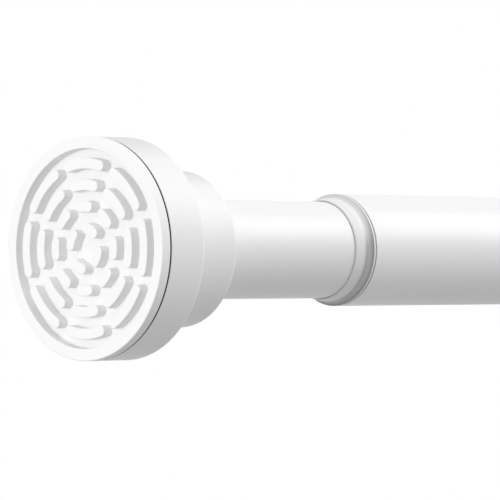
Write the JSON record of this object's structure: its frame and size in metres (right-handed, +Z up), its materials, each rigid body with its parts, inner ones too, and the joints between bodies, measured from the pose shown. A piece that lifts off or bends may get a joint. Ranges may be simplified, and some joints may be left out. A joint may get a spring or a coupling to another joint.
{
  "type": "spring tension rod",
  "caption": "Telescoping tension rod with round ribbed rubber pads on stepped end caps, a guide collar, and a spring and twist lock inside, to be wedged between walls.",
  "frame": {"origin": "centre of the near pad's wall face, on the rod's axis", "axes": "+X along the rod towards the far wall, +Z up"},
  "size_m": [0.7, 0.047, 0.047],
  "materials": {
    "pad_rubber": "soft white rubber",
    "cap_plastic": "smooth white moulded plastic",
    "tube_paint": "smooth white enamel on thin steel tube",
    "lock_nylon": "natural nylon",
    "spring_steel": "bright spring wire",
    "plated_steel": "zinc-plated steel",
    "drag_rubber": "black rubber"
  },
  "bodies": {
    "inner": {"near_pad": "pad_rubber", "near_end_cap": "cap_plastic", "inner_tube": "tube_paint", "spring_stop": "lock_nylon", "spring": "spring_steel", "guide_bush": "lock_nylon"},
    "plunger": {"spindle": "plated_steel", "thrust_washer": "plated_steel", "end_washer": "plated_steel", "end_screw": "plated_steel"},
    "expander": {"expander_sleeve": "lock_nylon", "drag_ring": "drag_rubber"},
    "nut": {"cone_nut": "lock_nylon"},
    "outer": {"outer_tube": "tube_paint", "tube_collar": "cap_plastic", "far_end_cap": "cap_plastic", "far_pad": "pad_rubber"}
  },
  "joints": [
    {"name": "spring_travel", "type": "slide", "parent": "inner", "child": "plunger", "axis": [-1, 0, 0], "range_m": [0, 0.025], "stiffness_N_per_m": 3780, "springref_m": -0.005, "deforming": ["spring"]},
    {"name": "twist_lock", "type": "hinge", "parent": "plunger", "child": "expander", "pos_m": [0.6656, 0, 0], "axis": [1, 0, 0], "range_deg": [0, 360]},
    {"name": "nut_feed", "type": "slide", "parent": "expander", "child": "nut", "axis": [1, 0, 0], "range_m": [0, 0.004]},
    {"name": "telescope", "type": "slide", "parent": "expander", "child": "outer", "axis": [1, 0, 0], "range_m": [0, 0.5]}
  ],
  "couplings": [
    {"joint": "nut_feed", "follows": "twist_lock", "m_per_rad": 0.00063662}
  ]
}
